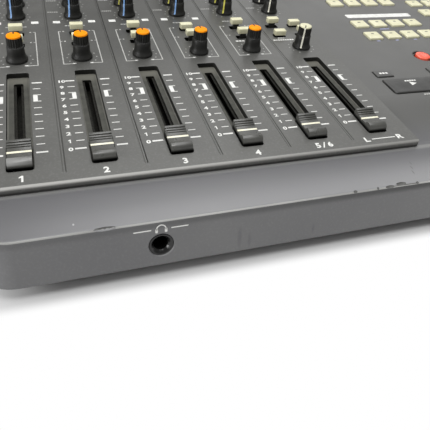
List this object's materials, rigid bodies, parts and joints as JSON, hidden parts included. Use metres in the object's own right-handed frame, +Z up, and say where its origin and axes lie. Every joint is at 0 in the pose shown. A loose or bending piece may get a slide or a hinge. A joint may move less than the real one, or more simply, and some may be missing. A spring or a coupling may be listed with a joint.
{
  "type": "minidisc multitrack recorder",
  "caption": "Desktop minidisc multitrack recorder with a sloping mixer of faders and rotary knobs, transport keys, jog dial, display, disc slot and headphone jack.",
  "frame": {"origin": "on the table, below the middle of the case's outline", "axes": "+X to the right along the longest side, +Y to the rear, +Z up"},
  "size_m": [0.436, 0.31, 0.1071],
  "materials": {
    "case_plastic": "satin painted moulding",
    "cover_steel": "satin",
    "rear_steel": "satin",
    "foot_rubber": "matte",
    "screw_steel": "zinc plated",
    "board": "solder mask",
    "dark_metal": "satin",
    "pot_metal": "plain",
    "black_plastic": "fine grain",
    "window": "clear, smoked",
    "lcd": "reflective display",
    "drive_steel": "plain",
    "fader_plastic": "satin",
    "knob_plastic": "fine grain",
    "cream_plastic": "satin",
    "key_plastic": "satin",
    "red_plastic": "translucent",
    "dial_plastic": "satin"
  },
  "bodies": {
    "case": {"upper_case": "case_plastic", "mixer_panel": "case_plastic", "bottom_cover": "cover_steel", "rear_panel": "rear_steel", "rubber_feet": "foot_rubber", "case_screws": "screw_steel", "circuit_boards": "board", "fader_units": "dark_metal", "rotary_pots": "pot_metal", "headphone_jack": "black_plastic", "rear_sockets": "black_plastic", "power_unit": "black_plastic", "display_window": "window", "lcd_module": "lcd", "disc_drive": "drive_steel"},
    "fader_1": {"fader_1": "fader_plastic"},
    "fader_2": {"fader_2": "fader_plastic"},
    "fader_3": {"fader_3": "fader_plastic"},
    "fader_4": {"fader_4": "fader_plastic"},
    "fader_56": {"fader_56": "fader_plastic"},
    "fader_main": {"fader_main": "fader_plastic"},
    "pan_knob_1": {"pan_knob_1": "knob_plastic"},
    "pan_knob_2": {"pan_knob_2": "knob_plastic"},
    "pan_knob_3": {"pan_knob_3": "knob_plastic"},
    "pan_knob_4": {"pan_knob_4": "knob_plastic"},
    "pan_knob_56": {"pan_knob_56": "knob_plastic"},
    "phones_knob": {"phones_knob": "knob_plastic"},
    "send1_knob_1": {"send1_knob_1": "knob_plastic"},
    "send1_knob_2": {"send1_knob_2": "knob_plastic"},
    "send1_knob_3": {"send1_knob_3": "knob_plastic"},
    "send1_knob_4": {"send1_knob_4": "knob_plastic"},
    "send1_knob_56": {"send1_knob_56": "knob_plastic"},
    "send1_knob_main": {"send1_knob_main": "knob_plastic"},
    "send2_knob_1": {"send2_knob_1": "knob_plastic"},
    "send2_knob_2": {"send2_knob_2": "knob_plastic"},
    "send2_knob_3": {"send2_knob_3": "knob_plastic"},
    "send2_knob_4": {"send2_knob_4": "knob_plastic"},
    "send2_knob_56": {"send2_knob_56": "knob_plastic"},
    "send2_knob_main": {"send2_knob_main": "knob_plastic"},
    "low_knob_1": {"low_knob_1": "knob_plastic"},
    "low_knob_2": {"low_knob_2": "knob_plastic"},
    "low_knob_3": {"low_knob_3": "knob_plastic"},
    "low_knob_4": {"low_knob_4": "knob_plastic"},
    "high_knob_1": {"high_knob_1": "knob_plastic"},
    "high_knob_2": {"high_knob_2": "knob_plastic"},
    "high_knob_3": {"high_knob_3": "knob_plastic"},
    "high_knob_4": {"high_knob_4": "knob_plastic"},
    "switch_row_front": {"switch_row_front": "cream_plastic"},
    "switch_row_back": {"switch_row_back": "cream_plastic"},
    "locate_keys": {"locate_keys": "cream_plastic"},
    "edit_keys": {"edit_keys": "cream_plastic"},
    "play_key": {"play_key": "key_plastic"},
    "stop_key": {"stop_key": "key_plastic"},
    "search_keys": {"search_keys": "key_plastic"},
    "record_button": {"record_button": "red_plastic"},
    "jog_dial": {"jog_dial": "dial_plastic"},
    "disc_door": {"disc_door": "black_plastic"},
    "power_switch": {"power_switch": "black_plastic"},
    "disc_spindle": {"disc_spindle": "drive_steel"},
    "pickup_sled": {"pickup_sled": "black_plastic"}
  },
  "joints": [
    {"name": "fader_1_slide", "type": "slide", "parent": "case", "child": "fader_1", "axis": [0, 0.9703, 0.2419], "range_m": [0, 0.06]},
    {"name": "fader_2_slide", "type": "slide", "parent": "case", "child": "fader_2", "axis": [0, 0.9703, 0.2419], "range_m": [0, 0.06]},
    {"name": "fader_3_slide", "type": "slide", "parent": "case", "child": "fader_3", "axis": [0, 0.9703, 0.2419], "range_m": [0, 0.06]},
    {"name": "fader_4_slide", "type": "slide", "parent": "case", "child": "fader_4", "axis": [0, 0.9703, 0.2419], "range_m": [0, 0.06]},
    {"name": "fader_56_slide", "type": "slide", "parent": "case", "child": "fader_56", "axis": [0, 0.9703, 0.2419], "range_m": [0, 0.06]},
    {"name": "fader_main_slide", "type": "slide", "parent": "case", "child": "fader_main", "axis": [0, 0.9703, 0.2419], "range_m": [0, 0.06]},
    {"name": "pan_knob_1_turn", "type": "hinge", "parent": "case", "child": "pan_knob_1", "pos_m": [-0.199, -0.0246, 0.06362], "axis": [0, -0.2419, 0.9703], "range_deg": [-150, 150]},
    {"name": "pan_knob_2_turn", "type": "hinge", "parent": "case", "child": "pan_knob_2", "pos_m": [-0.1633, -0.0246, 0.06362], "axis": [0, -0.2419, 0.9703], "range_deg": [-150, 150]},
    {"name": "pan_knob_3_turn", "type": "hinge", "parent": "case", "child": "pan_knob_3", "pos_m": [-0.1276, -0.0246, 0.06362], "axis": [0, -0.2419, 0.9703], "range_deg": [-150, 150]},
    {"name": "pan_knob_4_turn", "type": "hinge", "parent": "case", "child": "pan_knob_4", "pos_m": [-0.0919, -0.0246, 0.06362], "axis": [0, -0.2419, 0.9703], "range_deg": [-150, 150]},
    {"name": "pan_knob_56_turn", "type": "hinge", "parent": "case", "child": "pan_knob_56", "pos_m": [-0.0562, -0.0246, 0.06362], "axis": [0, -0.2419, 0.9703], "range_deg": [-150, 150]},
    {"name": "phones_knob_turn", "type": "hinge", "parent": "case", "child": "phones_knob", "pos_m": [-0.0205, -0.0246, 0.06362], "axis": [0, -0.2419, 0.9703], "range_deg": [-300, 0]},
    {"name": "send1_knob_1_turn", "type": "hinge", "parent": "case", "child": "send1_knob_1", "pos_m": [-0.199, 0.03099, 0.07748], "axis": [0, -0.2419, 0.9703], "range_deg": [-300, 0]},
    {"name": "send1_knob_2_turn", "type": "hinge", "parent": "case", "child": "send1_knob_2", "pos_m": [-0.1633, 0.03099, 0.07748], "axis": [0, -0.2419, 0.9703], "range_deg": [-300, 0]},
    {"name": "send1_knob_3_turn", "type": "hinge", "parent": "case", "child": "send1_knob_3", "pos_m": [-0.1276, 0.03099, 0.07748], "axis": [0, -0.2419, 0.9703], "range_deg": [-300, 0]},
    {"name": "send1_knob_4_turn", "type": "hinge", "parent": "case", "child": "send1_knob_4", "pos_m": [-0.0919, 0.03099, 0.07748], "axis": [0, -0.2419, 0.9703], "range_deg": [-300, 0]},
    {"name": "send1_knob_56_turn", "type": "hinge", "parent": "case", "child": "send1_knob_56", "pos_m": [-0.0562, 0.03099, 0.07748], "axis": [0, -0.2419, 0.9703], "range_deg": [-300, 0]},
    {"name": "send1_knob_main_turn", "type": "hinge", "parent": "case", "child": "send1_knob_main", "pos_m": [-0.0205, 0.03099, 0.07748], "axis": [0, -0.2419, 0.9703], "range_deg": [-300, 0]},
    {"name": "send2_knob_1_turn", "type": "hinge", "parent": "case", "child": "send2_knob_1", "pos_m": [-0.199, 0.04943, 0.08208], "axis": [0, -0.2419, 0.9703], "range_deg": [-300, 0]},
    {"name": "send2_knob_2_turn", "type": "hinge", "parent": "case", "child": "send2_knob_2", "pos_m": [-0.1633, 0.04943, 0.08208], "axis": [0, -0.2419, 0.9703], "range_deg": [-300, 0]},
    {"name": "send2_knob_3_turn", "type": "hinge", "parent": "case", "child": "send2_knob_3", "pos_m": [-0.1276, 0.04943, 0.08208], "axis": [0, -0.2419, 0.9703], "range_deg": [-300, 0]},
    {"name": "send2_knob_4_turn", "type": "hinge", "parent": "case", "child": "send2_knob_4", "pos_m": [-0.0919, 0.04943, 0.08208], "axis": [0, -0.2419, 0.9703], "range_deg": [-300, 0]},
    {"name": "send2_knob_56_turn", "type": "hinge", "parent": "case", "child": "send2_knob_56", "pos_m": [-0.0562, 0.04943, 0.08208], "axis": [0, -0.2419, 0.9703], "range_deg": [-300, 0]},
    {"name": "send2_knob_main_turn", "type": "hinge", "parent": "case", "child": "send2_knob_main", "pos_m": [-0.0205, 0.04943, 0.08208], "axis": [0, -0.2419, 0.9703], "range_deg": [-300, 0]},
    {"name": "low_knob_1_turn", "type": "hinge", "parent": "case", "child": "low_knob_1", "pos_m": [-0.199, 0.06786, 0.08668], "axis": [0, -0.2419, 0.9703], "range_deg": [-150, 150]},
    {"name": "low_knob_2_turn", "type": "hinge", "parent": "case", "child": "low_knob_2", "pos_m": [-0.1633, 0.06786, 0.08668], "axis": [0, -0.2419, 0.9703], "range_deg": [-150, 150]},
    {"name": "low_knob_3_turn", "type": "hinge", "parent": "case", "child": "low_knob_3", "pos_m": [-0.1276, 0.06786, 0.08668], "axis": [0, -0.2419, 0.9703], "range_deg": [-150, 150]},
    {"name": "low_knob_4_turn", "type": "hinge", "parent": "case", "child": "low_knob_4", "pos_m": [-0.0919, 0.06786, 0.08668], "axis": [0, -0.2419, 0.9703], "range_deg": [-150, 150]},
    {"name": "high_knob_1_turn", "type": "hinge", "parent": "case", "child": "high_knob_1", "pos_m": [-0.199, 0.0863, 0.09127], "axis": [0, -0.2419, 0.9703], "range_deg": [-150, 150]},
    {"name": "high_knob_2_turn", "type": "hinge", "parent": "case", "child": "high_knob_2", "pos_m": [-0.1633, 0.0863, 0.09127], "axis": [0, -0.2419, 0.9703], "range_deg": [-150, 150]},
    {"name": "high_knob_3_turn", "type": "hinge", "parent": "case", "child": "high_knob_3", "pos_m": [-0.1276, 0.0863, 0.09127], "axis": [0, -0.2419, 0.9703], "range_deg": [-150, 150]},
    {"name": "high_knob_4_turn", "type": "hinge", "parent": "case", "child": "high_knob_4", "pos_m": [-0.0919, 0.0863, 0.09127], "axis": [0, -0.2419, 0.9703], "range_deg": [-150, 150]},
    {"name": "switch_row_front_slide", "type": "slide", "parent": "case", "child": "switch_row_front", "axis": [0, 0.2419, -0.9703], "range_m": [0, 0.0025], "stiffness_N_per_m": 400, "springref_m": -0.0005},
    {"name": "switch_row_back_slide", "type": "slide", "parent": "case", "child": "switch_row_back", "axis": [0, 0.2419, -0.9703], "range_m": [0, 0.0025], "stiffness_N_per_m": 400, "springref_m": -0.0005},
    {"name": "locate_keys_slide", "type": "slide", "parent": "case", "child": "locate_keys", "axis": [0, 0.2419, -0.9703], "range_m": [0, 0.0012], "stiffness_N_per_m": 1000, "springref_m": -0.0005},
    {"name": "edit_keys_slide", "type": "slide", "parent": "case", "child": "edit_keys", "axis": [0, 0.2419, -0.9703], "range_m": [0, 0.0012], "stiffness_N_per_m": 1500, "springref_m": -0.0005},
    {"name": "play_key_slide", "type": "slide", "parent": "case", "child": "play_key", "axis": [0, 0.2419, -0.9703], "range_m": [0, 0.0012], "stiffness_N_per_m": 600, "springref_m": -0.0005},
    {"name": "stop_key_slide", "type": "slide", "parent": "case", "child": "stop_key", "axis": [0, 0.2419, -0.9703], "range_m": [0, 0.0012], "stiffness_N_per_m": 600, "springref_m": -0.0005},
    {"name": "search_keys_slide", "type": "slide", "parent": "case", "child": "search_keys", "axis": [0, 0.2419, -0.9703], "range_m": [0, 0.0012], "stiffness_N_per_m": 400, "springref_m": -0.0005},
    {"name": "record_button_slide", "type": "slide", "parent": "case", "child": "record_button", "axis": [0, 0.2419, -0.9703], "range_m": [0, 0.0012], "stiffness_N_per_m": 300, "springref_m": -0.0005},
    {"name": "jog_dial_turn", "type": "hinge", "parent": "case", "child": "jog_dial", "pos_m": [0.159, -0.0576, 0.0554], "axis": [0, -0.2419, 0.9703], "continuous": true},
    {"name": "disc_door_turn", "type": "hinge", "parent": "case", "child": "disc_door", "pos_m": [0.13, -0.1515, 0.0234], "axis": [1, 0, 0], "range_deg": [0, 80], "stiffness_Nm_per_rad": 0.002, "springref_deg": -11.46},
    {"name": "power_switch_turn", "type": "hinge", "parent": "case", "child": "power_switch", "pos_m": [0.12, 0.1459, 0.052], "axis": [1, 0, 0], "range_deg": [-16, 0]},
    {"name": "disc_spindle_turn", "type": "hinge", "parent": "case", "child": "disc_spindle", "pos_m": [0.13, -0.101, 0.011], "axis": [0, 0, 1], "continuous": true},
    {"name": "pickup_sled_slide", "type": "slide", "parent": "case", "child": "pickup_sled", "axis": [0, 1, 0], "range_m": [0, 0.018]}
  ]
}
